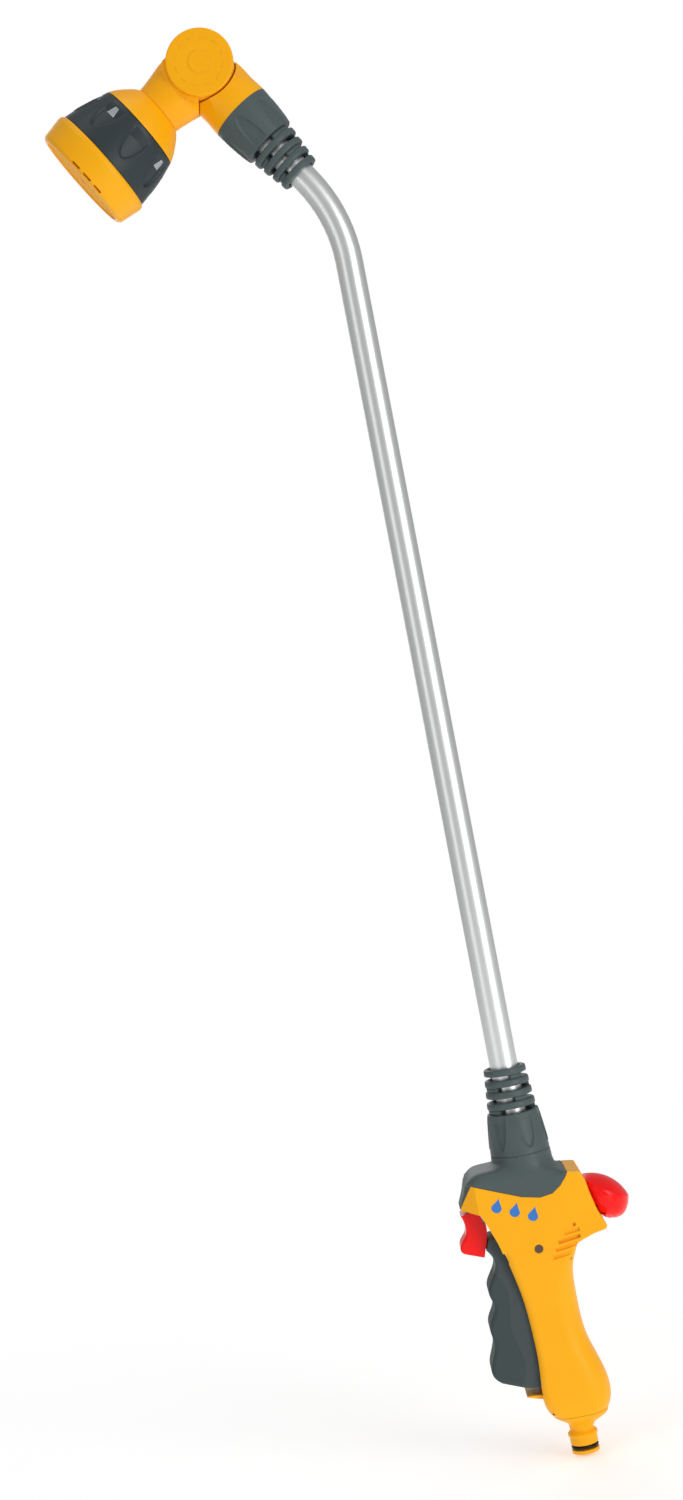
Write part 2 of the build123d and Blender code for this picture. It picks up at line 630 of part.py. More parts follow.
def tube_arm():
    """The arm on the lance, with the rear hub, threaded spout and waterway."""
    shape = neck(REACH, [(16.0, 2.0), (17.3, 9.0), (17.9, 14.5), (17.8, 22.0), (18.1, 28.0), (18.35, 32.8)])
    for cut in neck_flats(REACH, 16.8, 18.0, 8.0):
        shape -= cut
    shape &= half_space(fold_side(-1), NECK_GAP / 2)
    shape -= rod(HINGE, NECK_SWEEP, -HUB_GAP, 30)
    shape += hub(-HUB_Y, -HUB_GAP)
    shape += rod(REACH, THREAD_R, 30, JOINT_SPOUT_END)
    shape -= rod(HINGE, AXLE_R, -14.0, 0)
    shape -= REACH.location * Pos(6.8, 0, 15) * Cylinder(3.2, 30)
    shape -= rod(REACH, 9.6 - 2.4, 29.0, 38.6)
    shape -= rod(REACH, LANCE_R, 38.6, 60)
    return shape


AXLE_R = 6.0


def hinge_axle():
    """Hollow axle fixed in the rear hub; water crosses the joint through it."""
    axle = rod(HINGE, AXLE_R, -14.0, 13.0)
    axle -= rod(HINGE, 3.9, -12.0, 10.4)
    axle -= rod(HINGE, 1.3, 9, 20)
    for turn in range(4):
        axle -= Pos(PIVOT.X, -6.8, PIVOT.Z) * Rot(0, 45 + 90 * turn, 0) * Pos(0, 0, 5) * Cylinder(2.2, 6)
    axle -= REACH.location * Pos(6.8, 0, 5) * Cylinder(3.0, 10)
    for height in (1.5, 11.3):
        axle -= tube(HINGE, 7.0, 5.0, height, height + 1.4)
    return axle


def axle_seals():
    """The two O-rings of the hinge axle."""
    return Compound(children=[ring(HINGE, 5.5, 0.48, height + 0.7) for height in (1.5, 11.3)])


def hinge_washer():
    """Thin slip washer between the two hubs."""
    return tube(HINGE, 17.0, 8.2, -HUB_GAP, 0.4)


def hinge_screw():
    """Screw and captive washer that hold the front hub on the axle."""
    shank = rod(HINGE, 1.3, 11.0, 17.8)
    head = rod(HINGE, 3.6, 17.7, 19.0)
    head -= HINGE.location * Pos(0, 0, 19.0) * Box(4.2, 0.8, 0.8)
    head -= HINGE.location * Pos(0, 0, 19.0) * Box(0.8, 4.2, 0.8)
    return shank + head


def hub_plug():
    """Round cap that closes the screw recess in the front hub."""
    cap = rod(HINGE, 6.4, 19.1, 20.3)
    return fillet(cap.edges().filter_by(GeomType.CIRCLE).sort_by(Axis.Y)[0], 0.4)


# ---------------------------------------------------------------- spray rosette
SHELL_BACK = 33.9
BAND_START = 48.6
BEZEL_START = 76.3
BEZEL_FRONT = 93.0
PORTS = 8
PORT_R = 13.0
DIVIDER_R = 22.6
FACE_BACK = 89.6          # the spray face sits nearly level with the bezel's front rim
FACE_THICK = 2.6
SLIT_TURN = -14.3         # the rim's three slits, degrees from -Y


def rosette_shell():
    """Fixed bell behind the turning parts, with the port wall and its inlet neck."""
    bell = turned_curve(
        SPRAY, [(0, SHELL_BACK), (0, 48.2)],
        [(15.6, SHELL_BACK), (18.0, 36.0), (20.5, 38.9), (23.7, 43.2), (26.3, 48.2)])
    bell -= turned(SPRAY, (0, 36.4), (15.6, 36.4), (18.2, 38.8), (21.2, 43.0), (0, 43.0))
    bell -= turned(SPRAY, (0, 47.0), (23.6, 47.0), (24.0, 50.0), (0, 50.0))
    bell += rod(SPRAY, 9.9, 28.0, 34.5)
    bell += rod(SPRAY, 5.0, 35.0, 47.0)
    bell -= SPRAY.location * Pos(-6.8, 0, 32) * Cylinder(2.6, 10)
    bell -= rod(SPRAY, 1.5, 37.0, 60)
    bell -= SPRAY.location * Pos(-PORT_R, 0, 45) * Cylinder(3.2, 6)
    bell -= SPRAY.location * Pos(-PORT_R, 0, 46.4) * Cylinder(4.9, 3.6)
    return bell


def port_seal():
    """Rubber sleeve that presses on the selector plate."""
    sleeve = Cylinder(4.8, 1.5) - Cylinder(3.0, 3)
    return SPRAY.location * Pos(-PORT_R, 0, 46.55) * sleeve


def port_spring():
    """Wave spring behind the port seal."""
    wave = Cylinder(4.6, 0.9) - Cylinder(3.7, 3)
    return SPRAY.location * Pos(-PORT_R, 0, 45.2) * wave


def rosette_screw():
    """Shouldered screw that the rosette turns on."""
    return rod(SPRAY, 1.5, 38.0, 47.0) + rod(SPRAY, 2.5, 47.0, 50.9) + rod(SPRAY, 4.8, 50.9, 53.0)


def selector_plate():
    """Disc with one port for each spray pattern."""
    plate_ = rod(SPRAY, 22.0, 47.5, 50.6) - rod(SPRAY, 2.5 + RUN_CLEARANCE, 40, 60)
    for step in range(PORTS):
        turn = Rot(0, 0, 360 / PORTS * step)
        plate_ -= SPRAY.location * turn * Pos(-PORT_R, 0, 49) * Cylinder(2.4, 6)
    return plate_


def manifold():
    """Eight chambers between the selector plate and the spray face."""
    body = tube(SPRAY, DIVIDER_R, DIVIDER_R - 1.4, 50.6, FACE_BACK) + tube(SPRAY, 6.6, 5.4, 50.6, FACE_BACK)
    for step in range(PORTS):
        turn = Rot(0, 0, 360 / PORTS * (step + 0.5))
        height = FACE_BACK - 50.6
        body += SPRAY.location * turn * Pos(-14.0, 0, 50.6 + height / 2) * Box(15.4, 1.4, height)
    return body


def band_outer():
    """Outline of the rubber band, radius against height."""
    return [(26.45, BAND_START), (28.9, 57.6), (30.9, 66.8), (32.4, 76.1)]


def selector_band():
    """Rubber grip band with a scoop for each spray pattern."""
    band = turned_curve(SPRAY, [(24.1, BAND_START), (24.1, 56.0), (29.6, 76.1)], band_outer())
    for step in range(PORTS):
        turn = Rot(0, 0, 360 / PORTS * (step + 0.5))
        scoop = turn * Pos(-38.2, 0, 63.0) * Rot(0, -14, 0) * Sphere(11.5)
        band -= SPRAY.location * scoop
    return band


def front_bezel():
    """Front rim with the sleeve that carries the rubber band."""
    rim = turned(
        SPRAY, (24.1, 56.0), (24.1, 49.2), (22.8, 49.2), (22.8, 76.0), (28.2, 80.0), (28.2, 92.0), (28.6, BEZEL_FRONT),
        (30.0, BEZEL_FRONT), (31.2, 92.3), (31.9, 91.2), (33.9, 79.4), (33.7, 77.4), (32.7, BEZEL_START), (29.6, 76.1))
    for step in range(3):
        turn = Rot(0, 0, SLIT_TURN + 16.0 * (step - 1))
        rim -= SPRAY.location * turn * Pos(-31.1, 0, 91.5) * Box(4.4, 5.8, 1.0)
    return rim


def spray_face():
    """Perforated face plate."""
    face = rod(SPRAY, 28.2, FACE_BACK, FACE_BACK + FACE_THICK)
    rings = [(24.6, 40, 0.55), (21.2, 34, 0.55), (17.0, 16, 0.8), (12.2, 12, 0.7), (8.0, 8, 0.7)]
    for radius, count, hole_r in rings:
        for step in range(count):
            turn = Rot(0, 0, 360 / count * step)
            face -= SPRAY.location * turn * Pos(radius, 0, FACE_BACK + FACE_THICK / 2) * Cylinder(hole_r, 4)
    face -= rod(SPRAY, 2.2, FACE_BACK - 1, FACE_BACK + 4)
    return face


# ---------------------------------------------------------------- build and export
def spigot_seal():
    """O-ring near the tip of the hose spigot."""
    return ring(SPIGOT, 6.92, 0.95, 3.4) & rod(SPIGOT, 9.0, 1.95, 4.85)


def trigger_pin():
    """Steel pin that the trigger rocks on, flush with both shells."""
    pin = cross_rod(TRIGGER_PIVOT, PIN_R, HEAD_HALF_Y + 0.1)
    return fillet(pin.edges().filter_by(GeomType.CIRCLE), 0.3)


def all_nodes():
    """Every piece under its node name."""
    shell_left, shell_right = shells()
    trigger_lever, trigger_grip = trigger_parts()
    return {
        "shell_left": shell_left,
        "shell_right": shell_right,
        "shell_screws": shell_screws(),
        "barrel_hood": hood(),
        "base_cap": base_cap(),
        "spigot_seal": spigot_seal(),
        "inlet_pipe": inlet_pipe(),
        "valve_body": valve_body(),
        "outlet_pipe": outlet_pipe(),
        "valve_stem": valve_stem(),
        "stem_seal": stem_seal(),
        "trigger_spring": trigger_spring(),
        "trigger_pin": trigger_pin(),
        "trigger_lever": trigger_lever,
        "trigger_grip": trigger_grip,
        "trigger_lock": trigger_lock(),
        "flow_knob": flow_knob(),
        "flow_spindle": flow_spindle(),
        "spindle_seal": spindle_seal(),
        "lance_tube": lance_tube(),
        "lower_collar": lower_collar(),
        "lower_tube_seal": tube_seal(BARREL, 192.6 - 0.2),
        "upper_collar": upper_collar(),
        "upper_tube_seal": tube_seal(REACH, JOINT_SPOUT_END + 0.2),
        "tube_arm": tube_arm(),
        "hinge_axle": hinge_axle(),
        "axle_seals": axle_seals(),
        "hinge_washer": hinge_washer(),
        "hinge_screw": hinge_screw(),
        "hub_plug": hub_plug(),
        "head_arm": head_arm(),
        "rosette_shell": rosette_shell(),
        "port_seal": port_seal(),
        "port_spring": port_spring(),
        "rosette_screw": rosette_screw(),
        "selector_plate": selector_plate(),
        "manifold": manifold(),
        "selector_band": selector_band(),
        "front_bezel": front_bezel(),
        "spray_face": spray_face(),
    }


os.makedirs("parts", exist_ok=True)
for node, piece in all_nodes().items():
    export_step(piece, f"parts/{node}.step")
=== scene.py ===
import math

import bmesh
import bpy
from mathutils import Matrix, Vector


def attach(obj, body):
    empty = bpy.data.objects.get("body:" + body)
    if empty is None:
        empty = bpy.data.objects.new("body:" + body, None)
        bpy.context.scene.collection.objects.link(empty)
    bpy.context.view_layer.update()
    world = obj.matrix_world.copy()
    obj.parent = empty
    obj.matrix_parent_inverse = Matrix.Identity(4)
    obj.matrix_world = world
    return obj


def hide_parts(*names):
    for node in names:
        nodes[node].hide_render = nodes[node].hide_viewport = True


# A long-reach garden watering wand. It is put together from the hose spigot up: the
# pistol handle and its trigger, the bent lance between two collar nuts, then the
# tilting head with its turning spray rosette.
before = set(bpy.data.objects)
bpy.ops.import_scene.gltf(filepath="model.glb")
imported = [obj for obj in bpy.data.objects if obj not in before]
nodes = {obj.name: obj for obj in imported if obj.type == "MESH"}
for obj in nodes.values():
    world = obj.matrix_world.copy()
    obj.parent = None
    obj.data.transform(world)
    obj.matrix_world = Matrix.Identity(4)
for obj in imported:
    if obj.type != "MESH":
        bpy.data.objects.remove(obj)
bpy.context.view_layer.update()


# ---------------------------------------------------------------- finish: moulded ABS
# The yellow shells, base cap, both arms, the bell and the bezel are injection-moulded
# ABS from a spark-eroded tool: an even satin skin whose orange drifts a little deeper
# every couple of centimetres. The grain is drawn coarser than the real one, to show.
MM = 0.001
PATCH_MM = 22.0                       # size of the slow drift in tone
SHINIER, DULLER = 0.04, 0.06          # how far the roughness swings each way
SKIN_SPECULAR = 0.22


def linear(hex_colour):
    """sRGB hex colour as linear red, green, blue and alpha."""
    channels = [int(hex_colour[i:i + 2], 16) / 255 for i in (1, 3, 5)]
    return [c / 12.92 if c <= 0.04045 else ((c + 0.055) / 1.055) ** 2.4
            for c in channels] + [1.0]


def add_node(material, kind, settings=None, links=None, **inputs):
    """One shader node, with its settings, socket values and incoming links."""
    node = material.node_tree.nodes.new(kind)
    for name, value in (settings or {}).items():
        setattr(node, name, value)
    for name, value in inputs.items():
        node.inputs[name.replace("_", " ")].default_value = value
    for socket, source in (links or {}).items():
        material.node_tree.links.new(source, node.inputs[socket])
    return node


def moulded(name, colour, deep_colour, roughness, grain_mm, bump_mm, ior=1.53, coat=0.0):
    """Injection-moulded plastic or rubber: slow colour drift, fine grain and uneven gloss."""
    material = bpy.data.materials.new(name)
    material.use_nodes = True
    shader = material.node_tree.nodes["Principled BSDF"]
    place = add_node(material, "ShaderNodeTexCoord").outputs["Object"]
    drift = add_node(material, "ShaderNodeTexNoise", links={"Vector": place},
                     Scale=1 / (PATCH_MM * MM), Detail=2.0)
    tone = add_node(material, "ShaderNodeMix", {"data_type": "RGBA"},
                    {"Factor": drift.outputs["Fac"]})
    tone.inputs["A"].default_value = linear(colour)
    tone.inputs["B"].default_value = linear(deep_colour)
    material.node_tree.links.new(tone.outputs["Result"], shader.inputs["Base Color"])
    grain = add_node(material, "ShaderNodeTexNoise", links={"Vector": place},
                     Scale=1 / (grain_mm * MM), Detail=3.0)
    gloss = add_node(material, "ShaderNodeMapRange", links={"Value": grain.outputs["Fac"]})
    gloss.inputs["To Min"].default_value = roughness - SHINIER
    gloss.inputs["To Max"].default_value = roughness + DULLER
    material.node_tree.links.new(gloss.outputs["Result"], shader.inputs["Roughness"])
    bump = add_node(material, "ShaderNodeBump", links={"Height": grain.outputs["Fac"]},
                    Strength=0.5)
    bump.inputs["Distance"].default_value = bump_mm * MM
    material.node_tree.links.new(bump.outputs["Normal"], shader.inputs["Normal"])
    shader.inputs["IOR"].default_value = ior
    shader.inputs["Coat Weight"].default_value = coat
    shader.inputs["Coat Roughness"].default_value = 0.15
    shader.inputs["Specular IOR Level"].default_value = SKIN_SPECULAR
    return material


yellow_abs = moulded("satin_yellow_abs", "#FFB808", "#FFAD04", 0.36, 0.6, 0.012)


# ---------------------------------------------------------------- handle shells
# Two mirrored yellow ABS shells close round the valve and pipes and are screwed
# together from the right. Spark-eroded outside, sharp at the window for the trigger.
def dress(material, *names):
    """Gives pieces carried over from the CAD their finish."""
    for name in names:
        piece = nodes[name]
        piece.data.materials.clear()
        piece.data.materials.append(material)


def adopt(piece, material, body, slot, *stands_for):
    """Finishes a new piece and hangs it on its body in place of the plain CAD one."""
    piece.data.materials.clear()
    piece.data.materials.append(material)
    for face in piece.data.polygons:
        face.use_smooth = True
    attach(piece, body)
    if stands_for:
        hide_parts(*stands_for)
    return piece


def new_piece(name, bm):
    """Turns a finished bmesh into an object at the origin."""
    bmesh.ops.recalc_face_normals(bm, faces=bm.faces)
    mesh = bpy.data.meshes.new(name)
    bm.to_mesh(mesh)
    bm.free()
    piece = bpy.data.objects.new(name, mesh)
    bpy.context.scene.collection.objects.link(piece)
    return piece


dress(yellow_abs, "shell_left", "shell_right", "base_cap")

# Blue pad-printing ink: an even satin film with no grain of its own.
print_blue = moulded("print_blue", "#3C7FD0", "#3878C8", 0.4, 0.5, 0.0)
DROP_SLOPE = math.radians(-23)
DROP_RADIUS, DROP_POINT, DROP_PITCH, DROP_SINK = 3.0, 1.9, 10.5, 1.0
ROW_X, ROW_Z = -14.6, 146.0           # middle of the row of drops
SIDE_Y = -19.05                       # just proud of the left shell's side


def printed_drops():
    """Three plain water drops pad-printed in a sloping row on the left shell."""
    bm = bmesh.new()
    for index in range(3):
        drop = bmesh.ops.create_circle(bm, cap_ends=True, segments=40, radius=1.0)["verts"]
        for vert in drop:
            if vert.co.y > 0:
                vert.co.x *= 1 - vert.co.y
                vert.co.y *= DROP_POINT
            along = DROP_PITCH * (index - 1) + DROP_RADIUS * vert.co.x
            high = DROP_RADIUS * vert.co.y - DROP_SINK
            x = ROW_X + along * math.cos(DROP_SLOPE) - high * math.sin(DROP_SLOPE)
            z = ROW_Z + along * math.sin(DROP_SLOPE) + high * math.cos(DROP_SLOPE)
            vert.co = (x * MM, SIDE_Y * MM, z * MM)
    return new_piece("printed_drops", bm)


adopt(printed_drops(), print_blue, "handle", "white_plastic")


# ---------------------------------------------------------------- hose seal and waterway
# Nitrile O-ring on the spigot; natural acetal pipes and valve body behind it, welded
# in line, with a stainless push rod and return spring. Hidden once the shells close.
# Bare metal shows fine lines, drawn coarser than the real ones so that they show.
LINES_SHINIER, LINES_DULLER = 0.05, 0.07
black_nitrile = moulded("black_nitrile", "#141414", "#1C1C1C", 0.32, 0.5, 0.006, ior=1.52)
white_acetal = moulded("natural_acetal", "#DCDCD6", "#CFCFC8", 0.38, 0.6, 0.008, ior=1.48)


def machined(name, colour, roughness, line_mm, lengthwise):
    """Bare metal with fine drawing lines that run along one axis."""
    material = bpy.data.materials.new(name)
    material.use_nodes = True
    shader = material.node_tree.nodes["Principled BSDF"]
    shader.inputs["Base Color"].default_value = linear(colour)
    shader.inputs["Metallic"].default_value = 1.0
    place = add_node(material, "ShaderNodeTexCoord").outputs["Object"]
    stretch = add_node(material, "ShaderNodeMapping", links={"Vector": place})
    stretch.inputs["Scale"].default_value = lengthwise
    lines = add_node(material, "ShaderNodeTexNoise",
                     links={"Vector": stretch.outputs["Vector"]},
                     Scale=1 / (line_mm * MM), Detail=4.0)
    gloss = add_node(material, "ShaderNodeMapRange", links={"Value": lines.outputs["Fac"]})
    gloss.inputs["To Min"].default_value = roughness - LINES_SHINIER
    gloss.inputs["To Max"].default_value = roughness + LINES_DULLER
    material.node_tree.links.new(gloss.outputs["Result"], shader.inputs["Roughness"])
    bump = add_node(material, "ShaderNodeBump", links={"Height": lines.outputs["Fac"]},
                    Strength=0.25)
    bump.inputs["Distance"].default_value = 0.01 * MM
    material.node_tree.links.new(bump.outputs["Normal"], shader.inputs["Normal"])
    return material


spring_steel = machined("spring_steel", "#8C8A86", 0.3, 0.4, (1, 1, 1))
dull_zinc = machined("dull_zinc", "#6A5A50", 0.5, 0.5, (1, 1, 1))
dress(black_nitrile, "spigot_seal", "stem_seal", "spindle_seal")
dress(white_acetal, "inlet_pipe", "valve_body", "outlet_pipe", "flow_spindle")
dress(spring_steel, "shell_screws", "valve_stem", "trigger_spring")
dress(dull_zinc, "trigger_pin")


# ---------------------------------------------------------------- trigger
# Glass-filled nylon lever with a thermoplastic-rubber grip moulded over its front: four
# finger waves, darker and duller than the lever.
trigger_nylon = moulded("trigger_nylon", "#485254", "#414B4D", 0.5, 0.45, 0.014)
grip_rubber = moulded("grip_rubber", "#434F50", "#3C4849", 0.62, 0.35, 0.02, ior=1.5)
dress(trigger_nylon, "trigger_lever")
dress(grip_rubber, "trigger_grip")


# ---------------------------------------------------------------- lock catch and flow knob
# Signal-red acetal, glossier than the shells: a sliding catch under the nose, and a
# domed thumb knob whose fluted skirt turns in a pocket at the back.
red_acetal = moulded("signal_red_acetal", "#FF1414", "#F80E10", 0.24, 0.8, 0.006,
                     ior=1.48, coat=0.08)
dress(red_acetal, "trigger_lock", "flow_knob")


# ---------------------------------------------------------------- barrel hood
# Grey nylon hood that clips over the shells and carries the threaded spout for the
# lance; fine-textured, with a broad soft highlight.
hood_nylon = moulded("hood_grey_nylon", "#535F60", "#4B5758", 0.4, 0.5, 0.014)
LANCE_X = -4.8                        # axis of the lance's straight run
HOOD_VOXEL = 0.7
SHOULDER_LOW, SHOULDER_HIGH, SHOULDER_RISE = 156.0, 171.5, 0.28
BARREL_SKIN = 16.4                    # the barrel itself, inside this radius, stays sharp
SHOULDER_PASSES = 110


def blended_hood():
    """The hood with a soft concave shoulder where its barrel grows out of the block."""
    bm = bmesh.new()
    bm.from_mesh(nodes["barrel_hood"].data)
    bmesh.ops.remove_doubles(bm, verts=bm.verts, dist=0.00001)
    hood = new_piece("hood_casing", bm)
    skin = hood.modifiers.new("skin", "REMESH")
    skin.mode = "VOXEL"
    skin.voxel_size = HOOD_VOXEL * MM
    depsgraph = bpy.context.evaluated_depsgraph_get()
    whole = bpy.data.meshes.new_from_object(hood.evaluated_get(depsgraph))
    hood.modifiers.clear()
    bm = bmesh.new()
    bm.from_mesh(whole)
    shoulder = []
    for vert in bm.verts:
        off, side, height = vert.co.x / MM - LANCE_X, vert.co.y / MM, vert.co.z / MM
        if (SHOULDER_LOW + SHOULDER_RISE * abs(off) < height < SHOULDER_HIGH
                and math.hypot(off, side) > BARREL_SKIN):
            shoulder.append(vert)
    for _ in range(SHOULDER_PASSES):
        bmesh.ops.smooth_vert(bm, verts=shoulder, factor=0.5,
                              use_axis_x=True, use_axis_y=True, use_axis_z=True)
    bm.to_mesh(hood.data)
    bm.free()
    return hood


adopt(blended_hood(), hood_nylon, "handle", "grey_plastic", "barrel_hood")


# ---------------------------------------------------------------- lance
# 16 mm drawn aluminium tube, bent once below the head and satin anodised: a bright,
# soft metal with fine drawing lines along its whole length.
satin_anodised = machined("satin_anodised_aluminium", "#EEF1F0", 0.36, 0.5, (1, 1, 0.02))
dress(satin_anodised, "lance_tube")


# ---------------------------------------------------------------- collar nuts
# Grey nylon nuts that clamp the lance: a tapered grip with six thumb scoops, then a
# springy strain relief of four bevelled rings joined by staggered webs.
RINGS, RING_PITCH, RING_HEIGHT, FIRST_RING = 4, 6.3, 3.8, 2.9
BORE, RING_BORE = 8.3, 9.2
NUT_WALL = 2.0                        # nothing this close to the bore is scooped
NUT_ROWS, NUT_STEPS, RING_STEPS, WEB_STEPS = 48, 288, 160, 14
EVEN_TAPER, LATE_TAPER = 0.55, 0.45
NUT_SCOOPS, NUT_SCOOP_TURN = 6, -40
NUT_SCOOP_TIP, NUT_SCOOP_HALF, NUT_SCOOP_DEPTH, NUT_SCOOP_STOP = 3.2, 5.0, 1.1, 1.5
WEB_HALF_WIDTHS = (6.0, 4.0)          # even rows, odd rows
WEB_DROP, WEB_BITE = 2.9, 0.5
SCOOP_LENGTH, SCOOP_EDGE, SCOOP_FADE, SCOOP_LEAD = 16.0, 1.3, 6.0, 1.2
BEAD_HEIGHT, BEAD_WIDTH, BEAD_START = 0.34, 0.45, 0.2


def seat(origin, direction):
    """Frame whose Z runs along direction, with X across the wand."""
    up = Vector(direction).normalized()
    across = Vector((0, 1, 0))
    matrix = Matrix((across, up.cross(across), up)).transposed().to_4x4()
    matrix.translation = Vector(origin) * MM
    return matrix


def lathe(bm, profile, steps, start=0.0, sweep=360.0):
    """Spins a closed outline of (radius, height) in millimetres about Z."""
    turn, swing = math.radians(start), math.radians(sweep)
    verts = [bm.verts.new((r * MM * math.cos(turn), r * MM * math.sin(turn), h * MM))
             for r, h in profile]
    if sweep >= 360:
        outline = [bm.edges.new((verts[i - 1], verts[i])) for i in range(len(verts))]
        bmesh.ops.spin(bm, geom=verts + outline, cent=(0, 0, 0), axis=(0, 0, 1),
                       angle=swing, steps=steps, use_merge=True)
    else:
        cap = bm.faces.new(verts)
        bmesh.ops.spin(bm, geom=[cap], cent=(0, 0, 0), axis=(0, 0, 1),
                       angle=swing, steps=steps, use_duplicate=False)


def scoop(arc, height, tip, half_width, pitch, phase, depth, fade):
    """How far a thumb scoop sinks the surface, less the thin bead that stands round it.

    The outline is half an ellipse, closed at the tip. It opens towards low heights
    where half_width is positive and towards high ones where it is negative.
    """
    reach = (tip - height) if half_width > 0 else (height - tip)
    if reach < -SCOOP_LEAD:
        return 0.0
    across = (arc - phase + pitch / 2) % pitch - pitch / 2
    run = min(max(reach, 0.0), SCOOP_LENGTH) / SCOOP_LENGTH
    half = abs(half_width) * math.sqrt(max(1.0 - (1.0 - run) ** 2, 0.0))
    gap = half - abs(across)
    dish = min(max(gap / SCOOP_EDGE, 0.0), 1.0)
    dish = dish * dish * (3 - 2 * dish)
    alive = min(max((fade - reach) / SCOOP_FADE, 0.0), 1.0)
    bead = BEAD_HEIGHT * math.exp(-(gap / BEAD_WIDTH) ** 2) if reach > BEAD_START else 0.0
    return alive * (depth * dish - bead)


def collar(name, place, foot, top, big, small, first_rim, last_rim, web_angle):
    """Tapered nut with six scoops, then four rounded rings on staggered webs."""
    bm = bmesh.new()
    rows = [i / NUT_ROWS for i in range(NUT_ROWS + 1)]
    outer = [(big + (small - big) * (EVEN_TAPER * t + LATE_TAPER * t * t),
              foot + (top - foot) * t) for t in rows]
    lathe(bm, [(BORE, foot)] + outer + [(BORE, top)], NUT_STEPS)
    for vert in bm.verts:
        height, radius = vert.co.z / MM, vert.co.xy.length / MM
        if radius < BORE + NUT_WALL:
            continue
        angle = math.degrees(math.atan2(-vert.co.y, -vert.co.x))
        sink = scoop(math.radians(angle) * radius, height, foot + NUT_SCOOP_TIP,
                     -NUT_SCOOP_HALF, math.radians(360 / NUT_SCOOPS) * radius,
                     math.radians(NUT_SCOOP_TURN) * radius, NUT_SCOOP_DEPTH,
                     top - foot - NUT_SCOOP_STOP)
        vert.co.xy *= (radius - sink) / radius
    for row in range(RINGS):
        low = top + FIRST_RING + RING_PITCH * row
        rim = first_rim + (last_rim - first_rim) * row / (RINGS - 1)
        high = low + RING_HEIGHT
        lathe(bm, [(RING_BORE, low + 0.5), (RING_BORE + 0.5, low), (rim - 0.7, low),
                   (rim - 0.2, low + 0.2), (rim, low + 0.7), (rim - 0.15, high - 0.9),
                   (rim - 0.4, high - 0.3), (rim - 1.0, high), (RING_BORE + 0.5, high),
                   (RING_BORE, high - 0.5)], RING_STEPS)
        swing = math.degrees(2 * WEB_HALF_WIDTHS[row % 2] / rim)
        web_middle = web_angle + (0 if row % 2 else 90)
        for side in (0, 180):
            lathe(bm, [(RING_BORE, low - WEB_DROP), (rim - WEB_BITE, low - WEB_DROP),
                       (rim - WEB_BITE, low + WEB_BITE), (RING_BORE, low + WEB_BITE)],
                  WEB_STEPS, web_middle + side - swing / 2, swing)
    bmesh.ops.transform(bm, matrix=place, verts=bm.verts)
    return new_piece(name, bm)


PIVOT = (-67.1, 0, 814.4)             # where the head tilts
barrel_seat = seat((LANCE_X, 0, 0), (0, 0, 1))
bend_seat = seat(PIVOT, (0.5446, 0, -0.8387))
adopt(collar("lower_collar_nut", barrel_seat, 175.1, 198.2, 17.0, 14.9, 13.9, 12.2, 28),
      hood_nylon, "handle", "grey_plastic", "lower_collar")
adopt(collar("upper_collar_nut", bend_seat, 32.9, 56.4, 18.35, 16.0, 14.9, 12.2, 62),
      hood_nylon, "handle", "grey_plastic", "upper_collar")
dress(black_nitrile, "lower_tube_seal", "upper_tube_seal")


# ---------------------------------------------------------------- tilting joint
# Two yellow ABS arms on one hollow acetal axle, sealed with O-rings and held by a
# steel screw. The front hub is closed by a press-in plug.
dress(yellow_abs, "tube_arm", "head_arm", "hub_plug")
dress(white_acetal, "hinge_axle", "hinge_washer")
dress(black_nitrile, "axle_seals")
dress(spring_steel, "hinge_screw")
HUB_FACE_Y = -20.0
MARK_FOOT = -0.05                     # raised marks start just below the hub's face
CIRCLE_IN, CIRCLE_OUT, CIRCLE_HIGH = 6.35, 6.65, 0.16
BAR_IN, BAR_OUT, BAR_HIGH = 13.4, 14.0, 0.12
BAR_PITCH, BAR_SWEEP, FIRST_BAR = 30, 14, 4
hub_seat = Matrix.Rotation(math.radians(90), 4, "X")
hub_seat.translation = Vector((PIVOT[0], HUB_FACE_Y, PIVOT[2])) * MM


def hub_marks():
    """Fine raised circle and ring of short index bars moulded on the front hub."""
    bm = bmesh.new()
    lathe(bm, [(CIRCLE_IN, MARK_FOOT), (CIRCLE_IN, CIRCLE_HIGH),
               (CIRCLE_OUT, CIRCLE_HIGH), (CIRCLE_OUT, MARK_FOOT)], 96)
    for turn in range(0, 360, BAR_PITCH):
        lathe(bm, [(BAR_IN, MARK_FOOT), (BAR_IN, BAR_HIGH),
                   (BAR_OUT, BAR_HIGH), (BAR_OUT, MARK_FOOT)], 6, turn + FIRST_BAR, BAR_SWEEP)
    bmesh.ops.transform(bm, matrix=hub_seat, verts=bm.verts)
    return new_piece("hub_marks", bm)


adopt(hub_marks(), yellow_abs, "head", "yellow_plastic")


# ---------------------------------------------------------------- spray rosette
# A dark rubber grip band with a thumb scoop for each pattern turns with the bezel and
# with the drilled spray face, which sits just inside the front rim and is moulded
# duller than the shells.
band_rubber = moulded("band_rubber", "#353F42", "#2F383B", 0.36, 0.35, 0.012, ior=1.5)
face_yellow = moulded("spray_face_yellow", "#FFB404", "#FFAC02", 0.66, 0.8, 0.0)
dress(yellow_abs, "rosette_shell", "front_bezel")
dress(face_yellow, "spray_face")
dress(white_acetal, "selector_plate", "manifold")
dress(black_nitrile, "port_seal")
dress(spring_steel, "port_spring", "rosette_screw")
BAND_REAR, BAND_FRONT, BAND_ROWS, BAND_STEPS = 48.6, 76.1, 60, 400
BAND_REAR_R, BAND_FLARE, BAND_EASE = 26.45, 8.24, 2.29
BAND_BORE, BAND_LIP_R, BAND_LIP_START = 24.2, 29.7, 56.0
BAND_SCOOPS = 8
BAND_SCOOP_TIP, BAND_SCOOP_HALF, BAND_SCOOP_DEPTH, BAND_SCOOP_STOP = 70.0, 6.9, 1.5, 19.0
